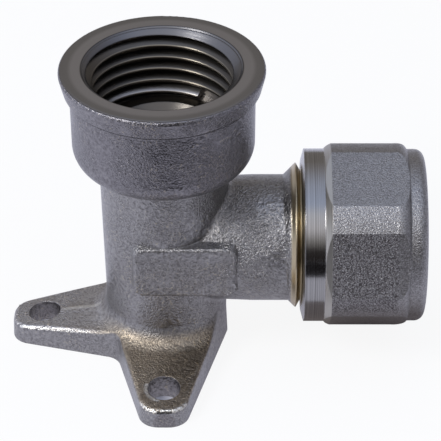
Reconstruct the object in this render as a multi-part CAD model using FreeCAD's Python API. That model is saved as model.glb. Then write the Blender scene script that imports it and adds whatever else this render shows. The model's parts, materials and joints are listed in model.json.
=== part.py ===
import FreeCAD, Part
import math
import os
from FreeCAD import Vector

# Wall plate elbow: a forged body with a threaded socket, a screw plate with three ears, and a
# compression end for a plastic pipe. Millimetres. The origin is on the wall, on the socket's
# axis. +Z runs out of the wall along the socket, and +X runs out along the branch.

# Socket, the G 1/2 female end
thread_major_d = 20.955
socket_mouth_d = 21.6
thread_depth = 9.2
socket_depth = 10.2
relief_d = 21.1
rim_d = 27.9
rim_edge = 0.5
rim_thickness = 3.1
rim_taper = 0.75
cup_d = 24.9
cup_draft = 0.1
cup_height = 14.5
step_round = 0.6

# Column between the socket and the plate
column_foot_d = 16.6
column_draft = math.radians(1.06)
column_clear = 4.35
foot_fillet = 3.0
foot_sink = 0.02
under_cup_ledge = 0.33
under_cup_fillet = 0.45

# Waterway: a countersunk drilling down the socket, met by the drilling along the branch
mouth_sink_d = 15.2
sink_angle = math.radians(45)
waterway_d = 12.4
tail_bore_d = 8.0
drill_point = math.radians(59)

# Branch: the forged neck, and the turned end whose axis the neck lies a little below
branch_height = 16.5
neck_d = 17.5
neck_waist = 0.6
neck_root_length = 12.0
neck_drop = 0.4
saddle_fillet = 0.8

# Height of the mouth over the wall: up the branch, then the column that stays clear, then the cup
socket_height = branch_height - neck_drop + neck_d / 2 + column_clear + cup_height

# Male thread M20 x 1.5, plain under the nut, with its first crest cut in full
male_crest_d = 20.0
male_root_d = 18.2
male_plain_d = 18.9
first_crest = 17.9
flare_angle = math.radians(45)
flare_start_d = 16.6
crest_flat = 0.14
flank_run = 0.5
male_end = 27.4
male_end_chamfer = 0.5

# Pipe socket and insert tail, for a 16 x 2 pipe
pipe_d = 16.0
pipe_play = 0.4
pipe_bore_d = 11.9
pipe_stop = 20.6
ring_seat = 0.8
tail_play = 0.2
tail_end = 33.2
tail_nose = 0.9
groove_width = 1.8
groove_depth = 1.05
inner_groove = 25.4
outer_groove = 29.6
o_ring_section = 1.5
o_ring_play = 0.03
washer_thickness = 1.0
washer_play = 0.1

# Nut
nut_length = 17.0
nut_flats = 24.0
nut_corner_d = 25.8
nut_corner_turn = 136.0
skirt_d = 23.94
skirt_length = 3.15
face_chamfer = 0.4
face_chamfer_d = 21.0
hexagon_end = 12.65
shoulder_length = 2.0
shoulder_bulge = 0.28
collar_d = 23.8
collar_round = 1.3
nut_thread_play = 0.1
nut_thread_length = 11.0
entry_chamfer = 0.5
cone_angle = math.radians(20)
exit_chamfer = 0.5

# Split ring
ring_d = 18.2
ring_length = 4.0
ring_end_wall = 0.35
ring_nose = 0.8
ring_slot = 1.0
ring_clear = 0.17
ring_gap = 0.3

# Places along the branch with the nut run up by hand: the ring lies just off the body's end, and
# the nut's cone lies just off the ring
pipe_way_r = (pipe_d + pipe_play) / 2
nut_thread_r = male_plain_d / 2 + nut_thread_play
ring_end_r = pipe_way_r + ring_end_wall
ring_start = male_end + ring_clear
ring_end = ring_start + ring_length
cone_lift = nut_thread_r - ring_gap / math.cos(cone_angle) - ring_end_r
cone_start = ring_end - cone_lift / math.tan(cone_angle)
nut_start = cone_start - nut_thread_length

# Wall plate
hub_thickness = 4.3
hub_reach = 8.05
plate_slope = 0.115
ear_reach = 21.9
ear_root_half_width = 8.6
ear_tip_half_width = 2.86
ear_tip_round = 2.8
ear_valley_round = 2.5
hub_corner_round = 1.6
parting_rise = 0.14
parting_sink = 0.06
parting_half_width = 2.1
plate_draft = 0.25
plate_edge_round = 0.65
screw_reach = 17.4
screw_hole_d = 4.5

# Bare pad on the front of the column and the neck
pad_width = 14.0
pad_height = 7.7
pad_middle_x = 2.9
pad_middle_z = 16.3
pad_face = 8.95
pad_depth = 3.0
pad_draft = 0.6
pad_corner = 1.3
pad_edge_round = 0.45

UP = Vector(0, 0, 1)
ALONG = Vector(1, 0, 0)
ORIGIN = Vector(0, 0, 0)
SCREW_TURNS = (90, 180, 270)
BRANCH_AXIS = Vector(0, 0, branch_height)
# How far a cutting tool runs past a face, how close two places are to be the same one, and the
# least upward lean of a face that counts as a roof
OVER = 0.5
SAME = 0.01
ROOF_LEAN = 0.5


def outline(corners):
    """A closed wire through (point, radius) corners. A radius above 0 rounds its corner with an arc."""
    count = len(corners)
    spans = []
    for i, (here, radius) in enumerate(corners):
        before = (corners[i - 1][0] - here).normalize()
        after = (corners[(i + 1) % count][0] - here).normalize()
        if radius == 0:
            spans.append((here, None, here))
            continue
        half = before.getAngle(after) / 2
        reach = radius / math.tan(half)
        middle = here + (before + after).normalize() * (radius / math.sin(half) - radius)
        spans.append((here + before * reach, middle, here + after * reach))
    edges = []
    for i, (start, middle, end) in enumerate(spans):
        if middle is not None:
            edges.append(Part.Arc(start, middle, end).toShape())
        following = spans[(i + 1) % count][0]
        edges.append(Part.LineSegment(end, following).toShape())
    return Part.Wire(edges)


def turned_on_socket(profile):
    """A solid of revolution about the socket's axis, from (radius, height, corner radius)."""
    wire = outline([(Vector(r, 0, z), corner) for r, z, corner in profile])
    return Part.Face(wire).revolve(ORIGIN, UP, 360)


def turned_on_branch(profile):
    """A solid of revolution about the branch's axis, from (x, radius, corner radius)."""
    wire = outline([(Vector(x, 0, branch_height + r), corner) for x, r, corner in profile])
    return Part.Face(wire).revolve(BRANCH_AXIS, ALONG, 360)


def socket_blank():
    """Rim, cup and the round under the cup, as seen from outside."""
    rim_r = rim_d / 2
    rim_low = socket_height - rim_thickness
    cup_low = socket_height - cup_height
    cup_round = cup_d / 2 - cup_draft - column_radius(cup_low) - under_cup_ledge
    return turned_on_socket([
        (0, cup_low, 0),
        (cup_d / 2 - cup_draft, cup_low, cup_round),
        (cup_d / 2, rim_low, step_round),
        (rim_r - rim_taper, rim_low, step_round),
        (rim_r, socket_height, rim_edge),
        (0, socket_height, 0),
    ])


def column_radius(height):
    """The column widens evenly from its foot, at the wall, to its top, inside the cup."""
    return column_foot_d / 2 + height * math.tan(column_draft)


def column():
    top = socket_height - cup_height + OVER
    return Part.makeCone(column_radius(0), column_radius(top), top)


def neck():
    """The forged neck of the branch, growing out of the column."""
    start = Vector(0, 0, branch_height - neck_drop)
    root_r = column_radius(start.z) - neck_waist / 2
    root = Part.makeCone(root_r, neck_d / 2, neck_root_length, start, ALONG)
    tube_start = start + ALONG * neck_root_length
    tube_length = first_crest - neck_root_length - OVER
    return root.fuse(Part.makeCylinder(neck_d / 2, tube_length, tube_start, ALONG))


def trunk():
    """Socket, column and neck in one, blended where they run into each other."""
    barrel = socket_blank().fuse(column()).removeSplitter()
    cup_low = socket_height - cup_height
    ring = [edge for edge in barrel.Edges if is_ring_at_height(edge, cup_low, column_radius(cup_low))]
    solid = barrel.makeFillet(under_cup_fillet, ring).fuse(neck()).removeSplitter()
    saddle = [edge for edge in solid.Edges if is_saddle(edge)]
    return solid.makeFillet(saddle_fillet, saddle)


def is_ring_at_height(edge, height, radius):
    """True for a level round edge of this radius at this height."""
    box = edge.BoundBox
    level = abs(box.ZMin - height) < SAME and abs(box.ZMax - height) < SAME
    return level and abs(box.YLength / 2 - radius) < SAME


def is_saddle(edge):
    """True for the two long edges where the neck comes out of the column."""
    box = edge.BoundBox
    cup_low = socket_height - cup_height
    beside = 0 < box.XMin and box.XMax < column_radius(cup_low) + OVER
    return beside and box.ZLength > neck_d / 2 and box.ZMax < cup_low


def turned_end():
    """Flare, first thread crest and the plain length that the nut runs on."""
    crest = male_crest_d / 2
    plain = male_plain_d / 2
    flare = (crest - flare_start_d / 2) / math.tan(flare_angle)
    groove = first_crest + crest_flat + flank_run
    return turned_on_branch([
        (first_crest - flare, 0, 0),
        (first_crest - flare, flare_start_d / 2, 0),
        (first_crest, crest, 0),
        (first_crest + crest_flat, crest, 0),
        (groove, male_root_d / 2, 0),
        (groove + crest_flat, male_root_d / 2, 0),
        (groove + crest_flat + flank_run / 2, plain, 0),
        (male_end - male_end_chamfer, plain, 0),
        (male_end, plain - male_end_chamfer, 0),
        (male_end, 0, 0),
    ])


def plate_outline(inset, height):
    """The three-eared outline of the wall plate, drawn in by an inset, at a height."""
    reach = ear_reach - inset
    taper = (ear_root_half_width - ear_tip_half_width) / ear_reach
    root = ear_root_half_width - inset * math.hypot(1, taper)
    tip = root - taper * reach
    valley = root / (1 + taper)
    places = [
        (root, 0, hub_corner_round),
        (tip, reach, ear_tip_round),
        (-tip, reach, ear_tip_round),
        (-valley, valley, ear_valley_round),
        (-reach, tip, ear_tip_round),
        (-reach, -tip, ear_tip_round),
        (-valley, -valley, ear_valley_round),
        (-tip, -reach, ear_tip_round),
        (tip, -reach, ear_tip_round),
    ]
    return outline([(Vector(x, y, height), corner) for x, y, corner in places])


def plate_top(reach):
    """Height of the plate's upper face at a distance from the socket's axis."""
    return hub_thickness - plate_slope * (reach - hub_reach)


def foot_top():
    """Height at which the foot's hollow round leaves the column."""
    rise = foot_fillet * math.hypot(1, plate_slope)
    return plate_top(column_radius(hub_thickness) + foot_fillet) + rise


def plate_roof():
    """A low cone over the plate, so that the ears thin towards their tips, with the foot's round."""
    far = ear_reach + hub_reach
    near = column_radius(foot_top()) - foot_sink
    centre = Vector(near + foot_fillet, 0, foot_top())
    lean = math.atan(plate_slope)

    def on_round(angle):
        return centre - Vector(math.sin(angle), 0, math.cos(angle)) * foot_fillet

    low = on_round(lean)
    high = on_round(math.pi / 2)
    outer = [low, Vector(far, 0, plate_top(far)), Vector(far, 0, -OVER), Vector(0, 0, -OVER),
             Vector(0, 0, high.z), high]
    arc = Part.Arc(high, on_round((lean + math.pi / 2) / 2), low).toShape()
    wire = Part.Wire(Part.makePolygon(outer).Edges + [arc])
    return Part.Face(wire).revolve(ORIGIN, UP, 360)


def parting_ridge():
    """The low roof along the left ear, where the two halves of the forging die met."""
    sections = []
    for x, rise in ((column_foot_d / 2, parting_rise), (ear_reach - plate_edge_round, 0)):
        top = Vector(-x, 0, plate_top(x) + rise)
        side = Vector(0, parting_half_width, -rise - parting_sink)
        other = Vector(0, -parting_half_width, -rise - parting_sink)
        sections.append(Part.makePolygon([top, top + side, top + other, top]))
    return Part.makeLoft(sections, True, True)


def wall_plate():
    """The plate with its drafted flanks and its thinned ears, before the screw holes."""
    low = plate_outline(0, 0)
    high = plate_outline(plate_draft, foot_top())
    plate = Part.makeLoft([low, high], True, True).common(plate_roof())
    rims = [edge for edge in plate.Edges if is_top_rim(edge, plate)]
    return plate.makeFillet(plate_edge_round, rims)


def is_top_rim(edge, solid):
    """True for an edge between a face that looks up and a flank."""
    faces = solid.ancestorsOfType(edge, Part.Face)
    lifts = sorted(abs(normal_at_middle(face).z) for face in faces)
    on_top = edge.BoundBox.ZMax > hub_thickness / 2
    return on_top and len(lifts) == 2 and lifts[0] < ROOF_LEAN < lifts[1]


def normal_at_middle(face):
    u0, u1, v0, v1 = face.ParameterRange
    return face.normalAt((u0 + u1) / 2, (v0 + v1) / 2)


def pad():
    """The bare rectangular pad, drafted, with rounded corners."""
    sections = []
    for y, grow in ((-pad_face + pad_depth, pad_draft), (-pad_face, 0)):
        half_w = pad_width / 2 + grow
        half_h = pad_height / 2 + grow
        middle = Vector(pad_middle_x, y, pad_middle_z)
        sides = ((half_w, half_h), (-half_w, half_h), (-half_w, -half_h), (half_w, -half_h))
        sections.append(outline([(middle + Vector(x, 0, z), pad_corner) for x, z in sides]))
    block = Part.makeLoft(sections, True, True)
    rims = [edge for edge in block.Edges if edge.BoundBox.YMax < -pad_face + SAME]
    return block.makeFillet(pad_edge_round, rims)


def socket_bore():
    """Mouth chamfer, threaded length drawn at its major diameter, relief and countersunk floor."""
    floor = socket_height - socket_depth
    thread_end = socket_height - thread_depth
    mouth_r = socket_mouth_d / 2
    thread_r = thread_major_d / 2
    sink_low = floor - (mouth_sink_d - waterway_d) / 2 / math.tan(sink_angle)
    bottom = branch_height - tail_bore_d / 2
    point = bottom - waterway_d / 2 / math.tan(drill_point)
    return turned_on_socket([
        (0, point, 0),
        (waterway_d / 2, bottom, 0),
        (waterway_d / 2, sink_low, 0),
        (mouth_sink_d / 2, floor, 0),
        (relief_d / 2, floor, 0),
        (relief_d / 2, thread_end, 0),
        (thread_r, thread_end, 0),
        (thread_r, socket_height - (mouth_r - thread_r), 0),
        (mouth_r + OVER, socket_height + OVER, 0),
        (0, socket_height + OVER, 0),
    ])


def pipe_socket():
    """The round pocket that the pipe's end goes into, flared at its mouth for the split ring."""
    return turned_on_branch([
        (pipe_stop, 0, 0),
        (pipe_stop, pipe_way_r, 0),
        (male_end - ring_seat, pipe_way_r, 0),
        (male_end + OVER, pipe_way_r + ring_seat + OVER, 0),
        (male_end + OVER, 0, 0),
    ])


def insert_tail():
    """The tail that goes into the pipe, with a groove for each o-ring."""
    wall = (pipe_bore_d - tail_play) / 2
    profile = [(pipe_stop - OVER, 0, 0), (pipe_stop - OVER, wall, 0)]
    for middle in (inner_groove, outer_groove):
        profile += [
            (middle - groove_width / 2, wall, 0),
            (middle - groove_width / 2, wall - groove_depth, 0),
            (middle + groove_width / 2, wall - groove_depth, 0),
            (middle + groove_width / 2, wall, 0),
        ]
    profile += [
        (tail_end - tail_nose, wall, 0),
        (tail_end, wall - tail_nose / 2, 0),
        (tail_end, 0, 0),
    ]
    return turned_on_branch(profile)


def screw_hole(turn):
    hole = Part.makeCylinder(screw_hole_d / 2, hub_thickness + 2 * OVER, Vector(screw_reach, 0, -OVER))
    hole.rotate(ORIGIN, UP, turn)
    return hole


def elbow_body():
    outside = trunk().multiFuse([turned_end(), wall_plate(), parting_ridge(), pad()])
    drilled = outside.cut(pipe_socket()).fuse(insert_tail())
    tail_bore = Part.makeCylinder(tail_bore_d / 2, tail_end + OVER, BRANCH_AXIS, ALONG)
    tools = [socket_bore(), tail_bore] + [screw_hole(turn) for turn in SCREW_TURNS]
    return drilled.cut(tools).removeSplitter().Solids[0]


def hexagon():
    """The nut's hexagon as a bar along the branch, longer than the nut."""
    circle_r = nut_flats / 2 / math.cos(math.radians(30))
    corners = []
    for k in range(6):
        angle = math.radians(nut_corner_turn + 60 * k)
        place = Vector(nut_start - OVER, circle_r * math.cos(angle), circle_r * math.sin(angle))
        corners.append(BRANCH_AXIS + place)
    face = Part.Face(Part.makePolygon(corners + corners[:1]))
    return face.extrude(ALONG * (nut_length + 2 * OVER))


def nut_outside():
    """Chamfered skirt, hexagon with its turned corners, curved shoulder and rounded collar."""
    skirt_end = nut_start + skirt_length
    corner_r = nut_corner_d / 2
    hexagon_start = skirt_end + corner_r - skirt_d / 2
    shoulder = nut_start + hexagon_end
    collar_start = shoulder + shoulder_length
    end = nut_start + nut_length

    def place(x, r):
        return Vector(x, 0, branch_height + r)

    front = [
        place(nut_start, 0),
        place(nut_start, face_chamfer_d / 2),
        place(nut_start + face_chamfer, skirt_d / 2),
        place(skirt_end, skirt_d / 2),
        place(hexagon_start, corner_r),
        place(shoulder, corner_r),
    ]
    half_drop = (corner_r + collar_d / 2) / 2
    bulge = place((shoulder + collar_start) / 2 + shoulder_bulge, half_drop + shoulder_bulge)
    arc = Part.Arc(place(shoulder, corner_r), bulge, place(collar_start, collar_d / 2)).toShape()
    back = [
        place(collar_start, collar_d / 2),
        place(end, collar_d / 2),
        place(end, 0),
        place(nut_start, 0),
    ]
    wire = Part.Wire(Part.makePolygon(front).Edges + [arc] + Part.makePolygon(back).Edges)
    blank = Part.Face(wire).revolve(BRANCH_AXIS, ALONG, 360)
    rim = [edge for edge in blank.Edges if is_ring_at(edge, end, collar_d / 2)]
    return blank.makeFillet(collar_round, rim).common(hexagon()).Solids[0]


def is_ring_at(edge, x, radius):
    """True for a round edge of this radius about the branch, at this place along it."""
    box = edge.BoundBox
    level = abs(box.XMin - x) < SAME and abs(box.XMax - x) < SAME
    return level and abs(box.ZLength / 2 - radius) < SAME


def nut_bore():
    """Entry chamfer, threaded length drawn plain, the cone on the split ring, and the pipe's way out."""
    cone_end = cone_start + (nut_thread_r - pipe_way_r) / math.tan(cone_angle)
    end = nut_start + nut_length
    return turned_on_branch([
        (nut_start - OVER, 0, 0),
        (nut_start - OVER, nut_thread_r + entry_chamfer + OVER, 0),
        (nut_start + entry_chamfer, nut_thread_r, 0),
        (cone_start, nut_thread_r, 0),
        (cone_end, pipe_way_r, 0),
        (end - exit_chamfer, pipe_way_r, 0),
        (end + OVER, pipe_way_r + exit_chamfer + OVER, 0),
        (end + OVER, 0, 0),
    ])


def compression_nut():
    return nut_outside().cut(nut_bore()).Solids[0]


def split_ring():
    """The slit ring: a nose for the body's seat, and a taper that matches the nut's cone."""
    taper_start = ring_end - (ring_d / 2 - ring_end_r) / math.tan(cone_angle)
    ring = turned_on_branch([
        (ring_start, pipe_way_r, 0),
        (ring_start, ring_d / 2 - ring_nose, 0),
        (ring_start + ring_nose, ring_d / 2, 0),
        (taper_start, ring_d / 2, 0),
        (ring_end, ring_end_r, 0),
        (ring_end, pipe_way_r, 0),
    ])
    slot_corner = Vector(ring_start - OVER, -ring_slot / 2, branch_height)
    return ring.cut(Part.makeBox(ring_length + 2 * OVER, ring_slot, ring_d, slot_corner)).Solids[0]


def o_ring(middle):
    root = (pipe_bore_d - tail_play) / 2 - groove_depth
    radius = root + o_ring_play + o_ring_section / 2
    return Part.makeTorus(radius, o_ring_section / 2, Vector(middle, 0, branch_height), ALONG)


def insulating_washer():
    inner = (pipe_bore_d - tail_play) / 2 + washer_play
    outer = pipe_way_r - washer_play
    return turned_on_branch([
        (pipe_stop, inner, 0),
        (pipe_stop, outer, 0),
        (pipe_stop + washer_thickness, outer, 0),
        (pipe_stop + washer_thickness, inner, 0),
    ])


pieces = {
    "elbow_body": elbow_body(),
    "compression_nut": compression_nut(),
    "split_ring": split_ring(),
    "tail_o_ring_inner": o_ring(inner_groove),
    "tail_o_ring_outer": o_ring(outer_groove),
    "insulating_washer": insulating_washer(),
}

os.makedirs("parts", exist_ok=True)
for name, shape in pieces.items():
    shape.exportStep("parts/" + name + ".step")
    box = shape.BoundBox
    print(name, shape.ShapeType, "solids", len(shape.Solids), "valid", shape.isValid(),
          "volume", round(shape.Volume, 1), "x", round(box.XMin, 2), round(box.XMax, 2),
          "z", round(box.ZMin, 2), round(box.ZMax, 2))
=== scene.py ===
# %% [markdown]
# A wall plate elbow is a forged and nickel-plated brass fitting. A plate with three ears is screwed
# to the wall, a tap is screwed into the threaded socket, and a plastic pipe is held in the branch by
# a compression nut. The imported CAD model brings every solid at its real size, so this file adds what
# the solids leave out: the finish of each surface, the screw threads, and the light.

import json
import math
from types import SimpleNamespace

import bpy
from mathutils import Euler, Matrix, Vector


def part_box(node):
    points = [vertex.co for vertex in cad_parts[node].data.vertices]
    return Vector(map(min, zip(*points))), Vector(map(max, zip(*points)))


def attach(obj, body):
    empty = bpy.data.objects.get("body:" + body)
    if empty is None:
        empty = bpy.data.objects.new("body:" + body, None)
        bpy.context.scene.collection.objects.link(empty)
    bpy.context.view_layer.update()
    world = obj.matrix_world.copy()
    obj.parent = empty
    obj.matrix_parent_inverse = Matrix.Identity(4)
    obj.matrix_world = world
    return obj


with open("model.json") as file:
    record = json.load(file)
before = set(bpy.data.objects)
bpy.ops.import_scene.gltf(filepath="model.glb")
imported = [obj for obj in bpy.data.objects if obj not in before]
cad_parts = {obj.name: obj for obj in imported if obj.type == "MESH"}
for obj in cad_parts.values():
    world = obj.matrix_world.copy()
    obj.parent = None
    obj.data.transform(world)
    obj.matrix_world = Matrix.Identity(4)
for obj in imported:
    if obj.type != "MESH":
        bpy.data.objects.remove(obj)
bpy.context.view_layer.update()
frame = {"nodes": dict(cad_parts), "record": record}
print("solids", sorted(frame["nodes"]))

# %% [markdown]
# Looks and threads have to meet the solids, so their places are read from the frame and not typed
# again. Blender works in metres. A fitting is easier to think of in millimetres, so lengths below
# are in millimetres and are multiplied by MM where Blender takes them.

# %% Places on the fitting
MM = 0.001
mounts = {mount["name"]: mount for mount in frame["record"]["mounts"]}
nut_low, nut_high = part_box("compression_nut")
nut_start = nut_low.x / MM
branch_height = (nut_low.z + nut_high.z) / 2 / MM
socket_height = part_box("elbow_body")[1].z / MM
socket_floor = socket_height - 10.2
socket_wall = mounts["socket_thread"]["dims"]["r_mm"]
screw_reach = -mounts["back_screw"]["pos_m"][0] / MM
print("socket height", round(socket_height, 2), "branch height", round(branch_height, 2))

# %% [markdown]
# The photograph was taken from the front with a long lens, looking down at the elbow by about 35
# degrees. A long lens keeps the socket's circles and the hexagon's edges nearly free of perspective.
# The camera's place and angles were fitted until the part's outline lay on the photograph's.

# %% Camera
camera_place = Vector((10.32, -266.67, 205.07)) * MM
camera_pitch = 34.92
camera_yaw = 0.576
camera_roll = -0.326
lens_length = 191.94


def add_camera():
    camera = bpy.data.objects.new("camera", bpy.data.cameras.new("camera"))
    bpy.context.scene.collection.objects.link(camera)
    aim = Euler((math.radians(90 - camera_pitch), 0, math.radians(camera_yaw))).to_matrix()
    roll = Matrix.Rotation(math.radians(camera_roll), 3, "Z")
    camera.matrix_world = Matrix.Translation(camera_place) @ (aim @ roll).to_4x4()
    camera.data.lens = lens_length
    camera.data.clip_start = 10 * MM
    bpy.context.scene.camera = camera
    return camera


add_camera()
bpy.context.scene.view_settings.view_transform = "Standard"
print("camera", round(camera_place.length / MM), "mm from the wall face")

# %% [markdown]
# A material is a small program of nodes. The helper below writes such a program in few words: each
# call adds one node and returns the socket that the next call reads. Most calls make a mask, which is
# 1 where a finish belongs and 0 elsewhere, or mix two colours by such a mask.


# %% A recipe helper
class Recipe:
    """A material, or the world, with calls that add nodes and give back their output sockets."""

    def __init__(self, owner):
        owner.use_nodes = True
        self.tree = owner.node_tree
        self.tree.nodes.clear()

    def node(self, kind, inputs=None, **settings):
        made = self.tree.nodes.new("ShaderNode" + kind)
        for name, value in settings.items():
            setattr(made, name, value)
        for name, value in (inputs or {}).items():
            self.fill(made, name, value)
        return made

    def fill(self, made, name, value):
        """Link an input to a socket, or set it to a number, a vector or a colour."""
        if isinstance(value, bpy.types.NodeSocket):
            self.tree.links.new(value, made.inputs[name])
        elif made.inputs[name].type == "RGBA" and len(value) == 3:
            made.inputs[name].default_value = (*value, 1.0)
        else:
            made.inputs[name].default_value = value

    def math(self, operation, first, second=0.0):
        return self.node("Math", {0: first, 1: second}, operation=operation).outputs[0]

    def add(self, first, second):
        return self.math("ADD", first, second)

    def times(self, first, second):
        return self.math("MULTIPLY", first, second)

    def length(self, first, second):
        squares = self.add(self.times(first, first), self.times(second, second))
        return self.math("SQRT", squares)

    def step(self, value, low, high):
        """0 below low, 1 above high, and smooth between. With low above high it runs the other way."""
        falls = low > high
        limits = {"Value": value, "From Min": min(low, high), "From Max": max(low, high),
                  "To Min": 1.0 if falls else 0.0, "To Max": 0.0 if falls else 1.0}
        return self.node("MapRange", limits, interpolation_type="SMOOTHSTEP").outputs["Result"]

    def both(self, *masks):
        result = masks[0]
        for mask in masks[1:]:
            result = self.times(result, mask)
        return result

    def either(self, *masks):
        result = masks[0]
        for mask in masks[1:]:
            result = self.math("MAXIMUM", result, mask)
        return result

    def outside(self, mask):
        return self.math("SUBTRACT", 1.0, mask)

    def ramp(self, value, stops):
        """A colour that runs through (place, colour) stops as the value goes from 0 to 1."""
        made = self.node("ValToRGB", {"Fac": value})
        points = made.color_ramp.elements
        while len(points) < len(stops):
            points.new(1.0)
        for point, (place, colour) in zip(points, stops):
            point.position = place
            point.color = (*colour, 1.0)
        return made.outputs["Color"]

    def noise(self, place, grain, detail=2.0, roughness=0.5):
        """A noise whose features are about the size of grain, in the units of place."""
        settings = {"Vector": place, "Scale": 1 / grain, "Detail": detail, "Roughness": roughness}
        return self.node("TexNoise", settings).outputs["Fac"]

    def mix(self, share, first, second):
        """A number between first and second."""
        return self.node("Mix", {0: share, 2: first, 3: second}, data_type="FLOAT").outputs[0]

    def mix_colour(self, share, first, second, blend="MIX"):
        made = self.node("Mix", data_type="RGBA", blend_type=blend)
        for index, value in ((0, share), (6, first), (7, second)):
            self.fill(made, index, value)
        return made.outputs[2]

    def tint(self, share, skin, colour):
        """Multiply the skin's colour by another where the share is 1."""
        return self.mix_colour(share, skin, colour, blend="MULTIPLY")

    def millimetres(self):
        """The place on the object, in millimetres: the whole vector, then x, y and z."""
        place = self.node("TexCoord").outputs["Object"]
        scaled = self.node("VectorMath", {0: place, 1: (1 / MM,) * 3}, operation="MULTIPLY").outputs[0]
        parts = self.node("SeparateXYZ", {0: scaled}).outputs
        return scaled, parts[0], parts[1], parts[2]

    def vector(self, x, y, z):
        return self.node("CombineXYZ", {0: x, 1: y, 2: z}).outputs[0]

    def bump(self, height, depth, under=None):
        """Relief whose full height is depth, in millimetres, laid over the relief under it."""
        made = self.node("Bump", {"Height": height, "Distance": depth * MM, "Strength": 1.0})
        if under is not None:
            self.fill(made, "Normal", under)
        return made.outputs[0]

    def output(self, shader, kind="OutputMaterial"):
        self.node(kind, {"Surface": shader})
        print(kind, "after", len(self.tree.nodes) - 1, "nodes")


# %% [markdown]
# Bright metal shows its surroundings more than its own colour, so the studio is part of the look.
# The paper that the fitting stands on glows white to the camera, as in the photograph, but the metal
# sees a dimmer paper in it: a real fitting shades the paper that it mirrors. Inside the three screw
# holes the paper is painted darker, as painted shade.

# %% Floor
WHITE = (1.0, 1.0, 1.0)
floor_reach = 3.0
floor_colour = (0.80, 0.82, 0.86)
floor_glow_share = 0.9
glossy_floor_colour = (0.88, 0.86, 1.02)
glossy_floor_share = 0.42
hole_painted_shade_colour = (0.60, 0.59, 0.63)
hole_shade_radius = 3.0
hole_shade_softness = 0.2
screw_places = ((-screw_reach, 0), (0, -screw_reach), (0, screw_reach))


def floor_material():
    material = bpy.data.materials.new("floor_paper")
    recipe = Recipe(material)
    path = recipe.node("LightPath").outputs
    to_camera = path["Is Camera Ray"]
    to_metal = recipe.either(path["Is Glossy Ray"], path["Is Transmission Ray"])
    glow_colour = recipe.mix_colour(to_camera, glossy_floor_colour, WHITE)
    glow = recipe.node("Emission", {"Color": glow_colour, "Strength": 1.0}).outputs[0]
    place, x, y, z = recipe.millimetres()
    lit = 1.0
    for hole_x, hole_y in screw_places:
        off_hole = recipe.length(recipe.add(x, -hole_x), recipe.add(y, -hole_y))
        hole_edge = hole_shade_radius - hole_shade_softness
        lit = recipe.times(recipe.step(off_hole, hole_edge, hole_shade_radius), lit)
    # Inside the screw holes the paper takes a painted shade colour.
    paper_colour = recipe.mix_colour(lit, hole_painted_shade_colour, floor_colour)
    paper = recipe.node("BsdfDiffuse", {"Color": paper_colour}).outputs[0]
    camera_share = recipe.both(to_camera, lit, floor_glow_share)
    share = recipe.add(camera_share, recipe.times(to_metal, glossy_floor_share))
    recipe.output(recipe.node("MixShader", {0: share, 1: paper, 2: glow}).outputs[0])
    return material


def make_floor():
    bpy.ops.mesh.primitive_circle_add(vertices=64, radius=floor_reach, fill_type="NGON")
    floor = bpy.context.object
    floor.name = "floor"
    floor.data.materials.append(floor_material())
    return floor


make_floor()

# %% [markdown]
# A tent of pale cloth gives the fitting the soft sky, the bright front and the one dark band that
# run round its turned faces. It is a dome that the camera doesn't see and that casts no shadow. Its
# colour runs from the dark gap at the front, over the top, to the back, and changes at both sides.

# %% Tent
tent_radius = 0.9
tent_side_start = 0.45
tent_side_end = 0.85
tent_front_to_back = [
    (0.00, (0.04, 0.035, 0.035)),
    (0.085, (0.05, 0.045, 0.045)),
    (0.15, (0.45, 0.44, 0.44)),
    (0.24, (1.15, 1.15, 1.25)),
    (0.34, (1.15, 1.20, 1.35)),
    (0.42, (0.80, 0.93, 1.25)),
    (0.58, (0.72, 0.80, 1.02)),
    (0.72, (0.50, 0.50, 0.55)),
    (0.80, (0.36, 0.34, 0.33)),
    (1.00, (0.28, 0.26, 0.25)),
]
tent_left = (0.80, 0.86, 1.05)
tent_right = (0.36, 0.37, 0.44)


def tent_material():
    material = bpy.data.materials.new("tent_cloth")
    recipe = Recipe(material)
    place = recipe.node("TexCoord").outputs["Object"]
    away = recipe.node("VectorMath", {0: place}, operation="NORMALIZE").outputs[0]
    x, y, z = recipe.node("SeparateXYZ", {0: away}).outputs
    turn = recipe.math("ARCTAN2", z, recipe.times(y, -1.0))
    cloth = recipe.ramp(recipe.times(turn, 1 / math.pi), tent_front_to_back)
    cloth = recipe.mix_colour(recipe.step(x, -tent_side_start, -tent_side_end), cloth, tent_left)
    cloth = recipe.mix_colour(recipe.step(x, tent_side_start, tent_side_end), cloth, tent_right)
    recipe.output(recipe.node("Emission", {"Color": cloth, "Strength": 1.0}).outputs[0])
    return material


def make_tent():
    bpy.ops.mesh.primitive_uv_sphere_add(segments=48, ring_count=24, radius=tent_radius)
    tent = bpy.context.object
    tent.name = "tent"
    bpy.ops.object.mode_set(mode="EDIT")
    bpy.ops.mesh.select_all(action="SELECT")
    bpy.ops.mesh.bisect(plane_co=(0, 0, 0), plane_no=(0, 0, 1), clear_inner=True)
    bpy.ops.mesh.select_all(action="SELECT")
    bpy.ops.mesh.flip_normals()
    bpy.ops.object.mode_set(mode="OBJECT")
    tent.data.materials.append(tent_material())
    tent.visible_camera = False
    tent.visible_shadow = False
    return tent


make_tent()

# %% [markdown]
# The nut's skirt is turned bright and shows one black band low on its front. A photographer gets
# such a band from a sheet of black felt laid on the paper in front of the object. A second, grey
# sheet under the nut is a painted shadow, where the real nut shades its own mirror image. Only the
# metal sees them.

# %% Cards
# Each card is (from x, to x), (from y, to y) on the floor, in metres, and its colour.
card_lift = 0.4 * MM
cards = {
    "front_card": ((-0.06, 0.5), (-0.85, -0.052), (0.02, 0.018, 0.018)),
    # The grey sheet under the nut is a painted shadow, seen only in the metal.
    "painted_nut_shadow_card": ((0.018, 0.042), (-0.018, 0.016), (0.34, 0.30, 0.29)),
}


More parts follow.
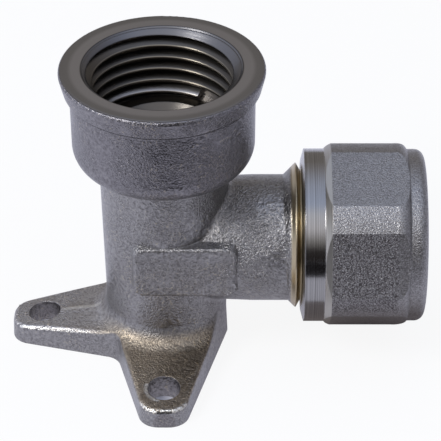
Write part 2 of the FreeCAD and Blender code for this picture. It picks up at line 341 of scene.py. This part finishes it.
def make_card(name, across, along, colour):
    middle = ((across[0] + across[1]) / 2, (along[0] + along[1]) / 2, card_lift)
    bpy.ops.mesh.primitive_plane_add(size=1, location=middle)
    card = bpy.context.object
    card.name = name
    card.scale = (across[1] - across[0], along[1] - along[0], 1)
    bpy.ops.object.transform_apply(location=True, rotation=False, scale=True)
    material = bpy.data.materials.new(name + "_felt")
    recipe = Recipe(material)
    recipe.output(recipe.node("BsdfDiffuse", {"Color": colour}).outputs[0])
    card.data.materials.append(material)
    card.visible_camera = False
    card.visible_shadow = False
    card.visible_diffuse = False
    return card


for name, (across, along, colour) in cards.items():
    make_card(name, across, along, colour)

# %% [markdown]
# Past the tent lies the world. The camera sees it as plain white, which is the photograph's
# background, and as light on matt surfaces it is a dim cool grey.

# %% World
world_grey = (0.6, 0.62, 0.66)


def make_world():
    world = bpy.data.worlds.new("studio")
    bpy.context.scene.world = world
    recipe = Recipe(world)
    path = recipe.node("LightPath").outputs
    seen = recipe.either(path["Is Camera Ray"], path["Is Glossy Ray"], path["Is Transmission Ray"])
    colour = recipe.mix_colour(seen, world_grey, WHITE)
    background = recipe.node("Background", {"Color": colour, "Strength": 1.0}).outputs[0]
    recipe.output(background, "OutputWorld")


make_world()

# %% [markdown]
# One round lamp from the front left puts the small hot glints on the rounded edges of the ears, on
# the rim and on the grain. It is large enough that they fade out softly.

# %% Key lamp
key_place = Vector((-260, -190, 330)) * MM
key_aim = Vector((5, 0, 18)) * MM
key_size = 160 * MM
key_power = 0.9


def add_lamp(name, place, aim, size, power):
    lamp = bpy.data.objects.new(name, bpy.data.lights.new(name, "AREA"))
    lamp.data.shape = "DISK"
    lamp.data.size = size
    lamp.data.energy = power
    lamp.location = place
    lamp.rotation_euler = (aim - place).to_track_quat("-Z", "Y").to_euler()
    bpy.context.scene.collection.objects.link(lamp)
    return lamp


add_lamp("key_lamp", key_place, key_aim, key_size, key_power)
print("key lamp", round((key_place - key_aim).length / MM), "mm away")

# %% [markdown]
# The body is forged in a die, blasted, machined where a tool has to reach, and plated last. So one
# skin of nickel has two textures: grain where the die left it, and fine circles where the tool ran.
# Which of them shows depends on how far a point lies from the socket's axis and from the branch's,
# and wear, tints and painted light depend on which way the surface faces. A survey gathers these
# numbers once.

# %% Survey of a point
edge_softness = 0.22


def survey(recipe):
    """Where a shaded point lies on the fitting, in millimetres, and where its surface faces."""
    place, x, y, z = recipe.millimetres()
    facing = recipe.node("SeparateXYZ", {0: recipe.node("TexCoord").outputs["Normal"]}).outputs
    return SimpleNamespace(place=place, x=x, y=y, z=z, facing_y=facing[1], facing_z=facing[2],
                           from_socket=recipe.length(x, y),
                           from_branch=recipe.length(y, recipe.add(z, -branch_height)))


def metal(recipe, colour, roughness, normal):
    settings = {"Base Color": colour, "Metallic": 1.0, "Roughness": roughness, "Normal": normal}
    recipe.output(recipe.node("BsdfPrincipled", settings).outputs[0])


def soft_edges(recipe):
    """The surface's direction with its sharp edges worn round."""
    return recipe.node("Bevel", {"Radius": edge_softness * MM}, samples=4).outputs[0]


def blasted_grain(recipe, place, fine_size, coarse_size, coarse_share):
    """The hammered look of a blasted forging: small pits between low swellings."""
    fine = recipe.noise(place, fine_size, detail=2.0, roughness=0.55)
    coarse = recipe.noise(place, coarse_size, detail=1.0)
    return recipe.mix(coarse_share, fine, coarse)


def tool_lines(recipe, across, along, width):
    """Fine lines that a cutting tool leaves: they change fast across and slowly along."""
    return recipe.noise(recipe.vector(across, along, 0.0), width, detail=3.0, roughness=0.7)


# %% [markdown]
# A lathe reached the rim's face, all of the socket's inside and the drilling below it, and the
# branch's end from its flare on. Everything else is as the die and the blasting left it.

# %% Where the forging is turned
# Each pair is where a mask starts and where it is full, in millimetres.
rim_top = (socket_height - 0.12, socket_height - 0.02)
bore_edge = (11.0, 10.9)
bore_bottom = (33.0, 33.2)
drilling_edge = (7.9, 7.7)
branch_end_start = (17.0, 17.5)
branch_end_edge = (8.2, 8.4)


def turned_places(recipe, at):
    on_rim = recipe.step(at.z, *rim_top)
    in_bore = recipe.both(recipe.step(at.from_socket, *bore_edge), recipe.step(at.z, *bore_bottom))
    in_socket = recipe.either(in_bore, recipe.step(at.from_socket, *drilling_edge))
    on_branch_end = recipe.both(recipe.step(at.x, *branch_end_start),
                                recipe.step(at.from_branch, *branch_end_edge))
    return on_rim, in_socket, on_branch_end


# %% [markdown]
# The grain is deepest on the neck, where the die was roughest, calmer on the column and the cup, and
# nearly smooth where the metal flowed round into the plate. Coarse swellings come and go in patches
# a few millimetres wide, so the skin doesn't look like a printed pattern.

# %% Relief of the forging
forging_grain_size = 0.26
forging_swelling_size = 0.55
forging_grain_depth = 0.34
calm_grain = 0.6
foot_grain = 0.45
swelling_patch_size = 4.5
swelling_patches = (0.40, 0.65)
swelling_share = 0.6
neck_start = (6.5, 9.0)
neck_bottom = (6.0, 8.0)
neck_top = (27.0, 26.0)
foot_top = (8.0, 5.5)
foot_edge = (14.0, 11.5)
forging_line_width = 0.14
forging_line_depth = 0.014
line_stretch = 0.4


def forging_relief(recipe, at, turned):
    patches = recipe.step(recipe.noise(at.place, swelling_patch_size), *swelling_patches)
    grain = blasted_grain(recipe, at.place, forging_grain_size, forging_swelling_size,
                          recipe.times(patches, swelling_share))
    on_neck = recipe.both(recipe.step(at.x, *neck_start), recipe.step(at.z, *neck_bottom),
                          recipe.step(at.z, *neck_top))
    near_foot = recipe.both(recipe.step(at.z, *foot_top), recipe.step(at.from_socket, *foot_edge))
    depth_share = recipe.mix(near_foot, recipe.mix(on_neck, calm_grain, 1.0), foot_grain)
    height = recipe.both(grain, recipe.outside(turned), depth_share)
    relief = recipe.bump(height, forging_grain_depth, under=soft_edges(recipe))
    lines = tool_lines(recipe, at.from_socket, recipe.times(at.z, line_stretch), forging_line_width)
    relief = recipe.bump(recipe.times(lines, turned), forging_line_depth, under=relief)
    return grain, near_foot, relief


# %% [markdown]
# Nickel over brass isn't one colour. Its pits are darker than its crests, partly by their own tone and
# partly as painted shade; some crests are rubbed down to a glint of brass, and the cup has dulled more
# than the column. The plate's faces that look up are tinted golden, strongest on the front ear, and
# the left ear's top is painted paler and bluer, as painted light.

# %% Colour of the blasted skin
# Each stop is a height of the grain from 0 to 1, and the nickel's colour there.
# The pits' darker colour is partly the grain's own tone and partly painted shade in the pits.
forging_nickel_and_pit_shade = [
    (0.36, (0.20, 0.19, 0.186)),
    (0.50, (0.29, 0.28, 0.275)),
    (0.64, (0.36, 0.348, 0.338)),
]
brass_glint = (0.52, 0.43, 0.28)
glint_patch_size = 7.0
glint_patches = (0.46, 0.62)
glint_shares = (0.05, 0.55)
grain_crests = (0.58, 0.70)
cup_shade = (0.74, 0.73, 0.77)
cup_bottom = (28.5, 30.0)
# A golden tint on the plate's upward faces, strongest towards the front.
plate_golden_tint = (1.0, 0.86, 0.66)
golden_tint_top = (8.5, 4.0)
golden_tint_front = (-3.0, -8.0)
side_golden_tint_share = 0.3
upward = (0.2, 0.7)
plate_top = (5.0, 4.6)
left_ear_start = (-8.0, -10.5)
# Painted light: the left ear's top is made paler and bluer, as if lit more.
left_ear_painted_light = (1.42, 1.46, 1.54)


def blasted_colour(recipe, at, grain):
    skin = recipe.ramp(grain, forging_nickel_and_pit_shade)
    skin = recipe.tint(recipe.step(at.z, *cup_bottom), skin, cup_shade)
    rubbed = recipe.step(recipe.noise(at.place, glint_patch_size, detail=1.0), *glint_patches)
    glints = recipe.times(recipe.step(grain, *grain_crests), recipe.mix(rubbed, *glint_shares))
    skin = recipe.mix_colour(glints, skin, brass_glint)
    faces_up = recipe.step(at.facing_z, *upward)
    to_front = recipe.mix(recipe.step(at.y, *golden_tint_front), side_golden_tint_share, 1.0)
    golden_tinted = recipe.both(recipe.step(at.z, *golden_tint_top), faces_up, to_front)
    skin = recipe.tint(golden_tinted, skin, plate_golden_tint)
    left_ear = recipe.both(recipe.step(at.z, *plate_top), faces_up, recipe.step(at.x, *left_ear_start))
    # Painted light on the left ear's top.
    return recipe.tint(left_ear, skin, left_ear_painted_light), left_ear


# %% [markdown]
# Wear shows bare and bright: the parting line of the die is a faint seam on the left ear. The ears'
# front edges carry a painted highlight all along. An edge is found by the way it faces: the rounded
# edge is the only place on an ear that faces up and to the front at once.

# %% Wear and painted highlights on the ears
# Bare nickel for the worn seam, and a painted highlight on the ears' edges and the drilled lip.
wear_and_highlight_nickel = (0.80, 0.77, 0.70)
seam_share = 0.5
seam_start = (-15.2, -14.6)
seam_edge = (0.45, 0.2)
edge_highlight_share = 0.8
edge_facing_up = ((0.30, 0.45), (0.96, 0.86))
edge_facing_front = (-0.22, -0.42)
ear_start = (11.6, 12.6)
edge_heights = ((5.0, 4.7), (1.6, 2.0))
edge_crests = (0.42, 0.50)


def worn_seam(recipe, at, skin, left_ear):
    on_middle = recipe.step(recipe.math("ABSOLUTE", at.y), *seam_edge)
    seam = recipe.both(left_ear, recipe.step(at.x, *seam_start), on_middle)
    return recipe.mix_colour(recipe.times(seam, seam_share), skin, wear_and_highlight_nickel)


def painted_edge_highlights(recipe, at, skin, grain):
    # A painted highlight on the ears' rounded front edges.
    edge_highlighted = recipe.both(*[recipe.step(at.facing_z, *limits) for limits in edge_facing_up],
                       recipe.step(at.facing_y, *edge_facing_front),
                       recipe.step(at.from_socket, *ear_start),
                       *[recipe.step(at.z, *limits) for limits in edge_heights],
                       recipe.step(grain, *edge_crests))
    return recipe.mix_colour(recipe.times(edge_highlighted, edge_highlight_share), skin, wear_and_highlight_nickel)


# %% [markdown]
# The front ear has three marks of its own: a lip that the drill pushed up beside the hole, a dark
# nick in the edge of its tip, and a half-round flat below the nick where the flash was cut off. They
# are a fraction of a millimetre deep, so colour laid on by place is enough, and the solid stays plain:
# the lip is a painted highlight, the nick a painted shadow, and the flat a painted shade.

# %% Marks on the front ear
tip_start = (-21.1, -21.3)
lip_highlight_share = 0.6
lip_edge = (2.95, 2.5)
lip_right_end = (-0.4, -1.0)
lip_back_end = (-16.2, -16.8)
lip_bottom = (2.6, 3.0)
nick_share = 0.9
nick_shadow = (0.03, 0.028, 0.026)
nick_waver = 0.5
nick_waver_size = 0.7
nick_heights = ((2.50, 2.58), (2.88, 2.80))
nick_ends = ((-1.0, -0.8), (1.3, 1.1))
cut_flat_shade = (0.80, 0.78, 0.78)
cut_flat_middle = (0.1, 0.7)
cut_flat_edge = (1.6, 1.45)


def drilled_lip(recipe, at, skin):
    off_hole = recipe.length(at.x, recipe.add(at.y, screw_reach))
    lip = recipe.both(recipe.step(off_hole, *lip_edge), recipe.step(at.x, *lip_right_end),
                      recipe.step(at.y, *lip_back_end), recipe.step(at.z, *lip_bottom))
    # The lip is a painted highlight.
    return recipe.mix_colour(recipe.times(lip, lip_highlight_share), skin, wear_and_highlight_nickel)


def tip_marks(recipe, at, skin):
    at_tip = recipe.step(at.y, *tip_start)
    waver = recipe.noise(recipe.vector(at.x, at.y, 0.0), nick_waver_size)
    height = recipe.add(at.z, recipe.times(waver, nick_waver))
    nick = recipe.both(at_tip, *[recipe.step(height, *limits) for limits in nick_heights],
                       *[recipe.step(at.x, *limits) for limits in nick_ends])
    # The nick is a painted shadow.
    skin = recipe.mix_colour(recipe.times(nick, nick_share), skin, nick_shadow)
    flat_x, flat_z = cut_flat_middle
    off_middle = recipe.length(recipe.add(at.x, -flat_x), recipe.add(at.z, -flat_z))
    flat = recipe.both(at_tip, recipe.step(off_middle, *cut_flat_edge))
    # The cut flat is a painted shade.
    return recipe.tint(flat, skin, cut_flat_shade)


# %% [markdown]
# Where the lathe ran, the plating is smooth, and its tone follows the tool's passes: a bright mouth
# chamfer, a black line at its upper edge, and a rim that darkens outwards. In the thread the flanks
# are painted nearly black, as shade deep in the socket; the crests get a lighter painted shade, and
# the relief groove below them stays bright. The branch's end has kept little nickel and looks golden.

# %% Colour of the turned faces
ring_tone_reach = 14.0
# Each stop is a distance from the socket's axis as a share of ring_tone_reach, and the tone there.
ring_tones = [
    (0.766, (0.155, 0.15, 0.15)),
    (0.772, (0.04, 0.038, 0.035)),
    (0.782, (0.33, 0.315, 0.305)),
    (0.86, (0.33, 0.315, 0.305)),
    (0.90, (0.235, 0.225, 0.213)),
    (1.0, (0.215, 0.205, 0.195)),
]
chamfer_bottom = (socket_height - 1.0, socket_height - 1.4)
painted_thread_shade = (0.10, 0.09, 0.078)
painted_thread_crest_shade = (0.21, 0.185, 0.145)
thread_crest_edge = (9.50, 9.38)
above_floor = (socket_floor + 0.3, socket_floor + 0.5)
relief_nickel = (0.34, 0.32, 0.30)
relief_top = (34.75, 34.6)
relief_edge = (9.3, 9.4)
branch_brass = (0.50, 0.42, 0.28)


def turned_colour(recipe, at, in_socket, on_branch_end):
    on_crest = recipe.both(recipe.step(at.from_socket, *thread_crest_edge),
                           recipe.step(at.z, *above_floor))
    # Painted shade deep in the socket: nearly black on the flanks, lighter on the crests.
    threaded = recipe.mix_colour(on_crest, painted_thread_shade, painted_thread_crest_shade)
    in_relief = recipe.both(recipe.step(at.z, *relief_top), recipe.step(at.from_socket, *relief_edge))
    threaded = recipe.mix_colour(in_relief, threaded, relief_nickel)
    below_chamfer = recipe.both(in_socket, recipe.step(at.z, *chamfer_bottom))
    rings = recipe.ramp(recipe.times(at.from_socket, 1 / ring_tone_reach), ring_tones)
    bored = recipe.mix_colour(below_chamfer, rings, threaded)
    return recipe.mix_colour(on_branch_end, bored, branch_brass)


# %% [markdown]
# The pieces above now make one material. A single material on the whole forging, with masks inside
# it, keeps the plating continuous where a turned face meets a blasted one, as one bath of nickel does.

# %% Nickel on the forging
turned_roughness = 0.30
crest_roughness = 0.36
pit_roughness = 0.24
foot_roughness = 0.42


def forging_material():
    material = bpy.data.materials.new("plated_forging_skin")
    recipe = Recipe(material)
    at = survey(recipe)
    on_rim, in_socket, on_branch_end = turned_places(recipe, at)
    turned = recipe.either(on_rim, in_socket, on_branch_end)
    grain, near_foot, relief = forging_relief(recipe, at, turned)
    skin, left_ear = blasted_colour(recipe, at, grain)
    skin = worn_seam(recipe, at, skin, left_ear)
    skin = painted_edge_highlights(recipe, at, skin, grain)
    skin = tip_marks(recipe, at, drilled_lip(recipe, at, skin))
    machined = turned_colour(recipe, at, in_socket, on_branch_end)
    blasted_roughness = recipe.mix(grain, pit_roughness, crest_roughness)
    blasted_roughness = recipe.mix(near_foot, blasted_roughness, foot_roughness)
    roughness = recipe.mix(turned, blasted_roughness, turned_roughness)
    metal(recipe, recipe.mix_colour(turned, skin, machined), roughness, relief)
    return material


def dress(node, material):
    target = frame["nodes"][node]
    for place in range(len(target.data.materials)):
        target.data.materials[place] = material
    print(node, "wears", material.name)


forging = forging_material()
dress("elbow_body", forging)

# %% [markdown]
# The nut is forged too, but its skirt, its chamfers and its inside are turned. The hexagon has a
# finer and shallower grain than the body. Its front face lies between the bright floor and the dark
# front, so its pits are painted black beside its crests as painted shade, like pepper and salt. The
# turned chamfer carries a painted reflection of the neck's lit side, and the nut's inside takes the
# same colour.

# %% Nickel on the nut
skirt_end = nut_start + 3.15
hexagon_end = nut_start + 12.65
turned_end = (skirt_end + 0.95, skirt_end + 0.9)
chamfer_start = (skirt_end + 0.02, skirt_end + 0.06)
nut_inside_edge = (9.9, 9.8)
front_facing = (-0.93, -0.96)
face_end = (hexagon_end + 0.6, hexagon_end)
nut_grain_size = 0.19
nut_swelling_size = 0.45
nut_swelling_share = 0.12
nut_grain_depth = 0.28
nut_calm_grain = 0.45
front_face_grain = 0.6
nut_line_width = 0.24
nut_line_depth = 0.04
nut_line_stretch = 0.3
# The pits' darker colour is partly the grain's own tone and partly painted shade in the pits.
nut_nickel_and_pit_shade = [
    (0.36, (0.19, 0.18, 0.178)),
    (0.50, (0.295, 0.285, 0.28)),
    (0.64, (0.38, 0.37, 0.362)),
]
# Painted shade: on the front face the pits are darkened further.
painted_front_pit_shade = [(0.42, (0.50, 0.48, 0.48)), (0.58, (1.0, 1.0, 1.0))]
skirt_streaks = [(0.38, (0.20, 0.192, 0.184)), (0.62, (0.38, 0.37, 0.358))]
# Painted reflection: the chamfer is made bright and warm, as it mirrors the neck's lit side.
painted_chamfer_reflection = (0.46, 0.44, 0.40)
chamfer_roughness = 0.42
skirt_roughness = 0.17
hexagon_roughness = 0.32


def nut_material():
    material = bpy.data.materials.new("plated_nut_skin")
    recipe = Recipe(material)
    at = survey(recipe)
    turned = recipe.either(recipe.step(at.x, *turned_end), recipe.step(at.from_branch, *nut_inside_edge))
    on_chamfer = recipe.step(at.x, *chamfer_start)
    on_front_face = recipe.both(recipe.step(at.facing_y, *front_facing), recipe.step(at.x, *face_end))
    grain = blasted_grain(recipe, at.place, nut_grain_size, nut_swelling_size, nut_swelling_share)
    depth_share = recipe.mix(on_front_face, nut_calm_grain, front_face_grain)
    height = recipe.both(grain, recipe.outside(turned), depth_share)
    relief = recipe.bump(height, nut_grain_depth, under=soft_edges(recipe))
    lines = tool_lines(recipe, at.x, recipe.times(at.from_branch, nut_line_stretch), nut_line_width)
    relief = recipe.bump(recipe.times(lines, turned), nut_line_depth, under=relief)
    # On the front face the pits get painted shade.
    blasted = recipe.tint(on_front_face, recipe.ramp(grain, nut_nickel_and_pit_shade), recipe.ramp(grain, painted_front_pit_shade))
    # The chamfer and the inside get the painted reflection colour.
    machined = recipe.mix_colour(on_chamfer, recipe.ramp(lines, skirt_streaks), painted_chamfer_reflection)
    turned_finish = recipe.mix(on_chamfer, skirt_roughness, chamfer_roughness)
    roughness = recipe.mix(turned, hexagon_roughness, turned_finish)
    metal(recipe, recipe.mix_colour(turned, blasted, machined), roughness, relief)
    return material


nut_skin = nut_material()
dress("compression_nut", nut_skin)

# %% [markdown]
# A screw thread is one ridge wound along a helix. It could be a texture, but a texture has no
# outline and no overlap, and here the eye looks straight into the thread. So its section is drawn
# once as a flat shape, and a Screw modifier winds it up by one pitch a turn. The foot of the ridge
# lies a little inside the wall that carries it, so no gap shows.

# %% Winding a ridge
thread_steps = 96
crest_round_share = 0.4
thread_smooth_angle = 35


def select_only(thing):
    bpy.ops.object.select_all(action="DESELECT")
    thing.select_set(True)
    bpy.context.view_layer.objects.active = thing


def draw_section(name, foot_radius, crest_radius, foot_width, crest_width):
    """The ridge's outline as a loop of edges: wide at the foot, narrow and round at the crest."""
    depth = abs(crest_radius - foot_radius)
    middle = (foot_radius + crest_radius) / 2
    bpy.ops.object.select_all(action="DESELECT")
    bpy.ops.mesh.primitive_plane_add(size=1, location=(middle * MM, 0, 0),
                                     rotation=(math.pi / 2, 0, 0))
    section = bpy.context.object
    section.name = name
    section.scale = (depth * MM, foot_width * MM, 1)
    bpy.ops.object.transform_apply(location=True, rotation=True, scale=True)
    bpy.ops.object.mode_set(mode="EDIT")
    bpy.ops.mesh.select_all(action="DESELECT")
    bpy.ops.object.mode_set(mode="OBJECT")
    for vertex in section.data.vertices:
        vertex.select = abs(vertex.co.x / MM - crest_radius) < depth / 4
    bpy.ops.object.mode_set(mode="EDIT")
    bpy.ops.transform.resize(value=(1, 1, crest_width / foot_width), center_override=(0, 0, 0))
    bpy.ops.mesh.bevel(offset=crest_width * crest_round_share * MM, segments=2, affect="VERTICES")
    bpy.ops.mesh.select_all(action="SELECT")
    bpy.ops.mesh.delete(type="ONLY_FACE")
    bpy.ops.object.mode_set(mode="OBJECT")
    return section


def wind_ridge(section, pitch, turns):
    """Wind a section about Z into a closed ridge. It starts on the X axis with its crest at height 0."""
    wind = section.modifiers.new("wind", "SCREW")
    wind.axis = "Z"
    wind.screw_offset = pitch * MM
    wind.iterations = turns
    wind.steps = thread_steps
    wind.render_steps = thread_steps
    bpy.ops.object.modifier_apply(modifier=wind.name)
    bpy.ops.object.mode_set(mode="EDIT")
    bpy.ops.mesh.select_all(action="SELECT")
    bpy.ops.mesh.remove_doubles(threshold=0.001 * MM)
    bpy.ops.mesh.fill_holes(sides=0)
    bpy.ops.mesh.normals_make_consistent(inside=False)
    bpy.ops.object.mode_set(mode="OBJECT")
    return section


# %% [markdown]
# A ridge ends where the tool left the metal. A cone as wide as the tool's chamfer is cut away from
# its upper end, and a cylinder from its lower end, or a cylinder keeps just the length between them.

# %% Placing and trimming a ridge
def cone_cutter(low, low_radius, high, high_radius):
    bpy.ops.object.select_all(action="DESELECT")
    bpy.ops.mesh.primitive_cone_add(vertices=thread_steps, radius1=low_radius * MM,
                                    radius2=high_radius * MM, depth=(high - low) * MM,
                                    location=(0, 0, (low + high) / 2 * MM))
    bpy.ops.object.transform_apply(location=True, rotation=True, scale=True)
    return bpy.context.object


def trim(piece, cutter, keep_inside=False):
    select_only(piece)
    cut = piece.modifiers.new("trim", "BOOLEAN")
    cut.operation = "INTERSECT" if keep_inside else "DIFFERENCE"
    cut.solver = "EXACT"
    cut.object = cutter
    bpy.ops.object.modifier_apply(modifier=cut.name)
    bpy.data.objects.remove(cutter)


def move_to(ridge, placing):
    ridge.matrix_world = placing
    select_only(ridge)
    bpy.ops.object.transform_apply(location=True, rotation=True, scale=True)


def turn_and_lift(ridge, turn, lift):
    lifting = Matrix.Translation((0, 0, lift * MM))
    move_to(ridge, lifting @ Matrix.Rotation(math.radians(turn), 4, "Z"))


def lay_on_branch(ridge):
    lifting = Matrix.Translation((0, 0, branch_height * MM))
    move_to(ridge, lifting @ Matrix.Rotation(math.pi / 2, 4, "Y"))


def finish_thread(ridge, body, material):
    select_only(ridge)
    bpy.ops.object.shade_smooth_by_angle(angle=math.radians(thread_smooth_angle))
    ridge.data.materials.append(material)
    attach(ridge, body)
    print(ridge.name, "faces", len(ridge.data.polygons))


# %% [markdown]
# The socket takes a half-inch pipe thread: 14 turns to the inch, which is a pitch of 1.814 mm. Its
# ridge points inwards. The photograph shows where it runs out at the bottom, low on the right, and
# the ridge is turned until its end lies there.

# %% The socket's thread
socket_pitch = 1.814
socket_crest = 9.32
socket_foot_width = 1.55
socket_crest_width = 0.26
socket_turns = 6
socket_ridge_end_turn = 61
socket_ridge_end = 33.93
foot_sink = 0.12
# Each cutter is its low end and radius, then its high end and radius.
floor_cutter = (socket_floor - 4, 12, socket_floor + 0.08, 12)
mouth_cutter = (socket_height - 1.7, 8.945, socket_height + 2.3, 13.31)


def socket_thread():
    section = draw_section("socket_thread", socket_wall + foot_sink, socket_crest, socket_foot_width,
                           socket_crest_width)
    ridge = wind_ridge(section, socket_pitch, socket_turns)
    turn_and_lift(ridge, socket_ridge_end_turn, socket_ridge_end)
    trim(ridge, cone_cutter(*floor_cutter))
    trim(ridge, cone_cutter(*mouth_cutter))
    finish_thread(ridge, "fitting", forging)


socket_thread()

# %% [markdown]
# The branch and the nut share a fine 20 mm thread of 1.5 mm pitch. The nut's ridge runs half a pitch
# off the branch's, so each crest lies in the other's groove. It rides with the nut, and the joint's
# travel of one pitch a turn keeps the two in step.

# %% The branch's thread and the nut's
fine_pitch = 1.5
fine_thread_start = 17.4
branch_root = 9.2
branch_crest = 10.0
branch_foot_width = 1.11
branch_crest_width = 0.19
branch_turns = 8
branch_keeper = (18.7, 10.2, 27.4, 10.2)
nut_root = 9.75
nut_crest = 9.19
nut_foot_width = 0.95
nut_crest_width = 0.3
nut_turns = 9
nut_keeper = (nut_start + 0.5, 10.2, nut_start + 10.9, 10.2)


def branch_thread():
    section = draw_section("branch_thread", branch_root, branch_crest, branch_foot_width,
                           branch_crest_width)
    ridge = wind_ridge(section, fine_pitch, branch_turns)
    turn_and_lift(ridge, 0, fine_thread_start)
    trim(ridge, cone_cutter(*branch_keeper), keep_inside=True)
    lay_on_branch(ridge)
    finish_thread(ridge, "fitting", forging)


def nut_thread():
    section = draw_section("nut_thread", nut_root, nut_crest, nut_foot_width, nut_crest_width)
    ridge = wind_ridge(section, fine_pitch, nut_turns)
    turn_and_lift(ridge, 0, fine_thread_start + fine_pitch / 2)
    trim(ridge, cone_cutter(*nut_keeper), keep_inside=True)
    lay_on_branch(ridge)
    finish_thread(ridge, "nut", nut_skin)


branch_thread()
nut_thread()

# %% [markdown]
# The pieces inside the nut were never plated. The split ring is turned from bare brass, the two
# seals on the tail are black rubber, and the washer is white plastic. They show only from the
# branch's open end or with the nut screwed out, so plain materials with a faint grain are enough.

# %% Ring, seals and washer
ring_brass = [(0.3, (0.62, 0.43, 0.17)), (0.7, (0.5, 0.34, 0.13))]
ring_roughness = 0.28
ring_stain_size = 1.5
ring_line_width = 0.12
ring_line_depth = 0.01
rubber_black = (0.018, 0.018, 0.019)
rubber_roughness = 0.45
rubber_grain_size = 0.3
washer_white = (0.78, 0.77, 0.72)
washer_roughness = 0.4
washer_grain_size = 0.5
plain_grain_depth = 0.01
plain_patch_size = 1.2
plain_patch_shade = 0.85


def ring_material():
    material = bpy.data.materials.new("turned_brass")
    recipe = Recipe(material)
    at = survey(recipe)
    lines = recipe.noise(recipe.vector(at.x, at.from_branch, 0.0), ring_line_width)
    colour = recipe.ramp(recipe.noise(at.place, ring_stain_size), ring_brass)
    metal(recipe, colour, ring_roughness, recipe.bump(lines, ring_line_depth))
    return material


def plain_material(name, colour, roughness, grain_size):
    material = bpy.data.materials.new(name)
    recipe = Recipe(material)
    place, x, y, z = recipe.millimetres()
    shaded = tuple(plain_patch_shade * part for part in colour)
    tone = recipe.ramp(recipe.noise(place, plain_patch_size), [(0.3, shaded), (0.7, colour)])
    relief = recipe.bump(recipe.noise(place, grain_size), plain_grain_depth)
    settings = {"Base Color": tone, "Roughness": roughness, "Normal": relief}
    recipe.output(recipe.node("BsdfPrincipled", settings).outputs[0])
    return material


dress("split_ring", ring_material())
rubber = plain_material("seal_rubber_skin", rubber_black, rubber_roughness, rubber_grain_size)
for seal in ("tail_o_ring_inner", "tail_o_ring_outer"):
    dress(seal, rubber)
washer = plain_material("washer_skin", washer_white, washer_roughness, washer_grain_size)
dress("insulating_washer", washer)
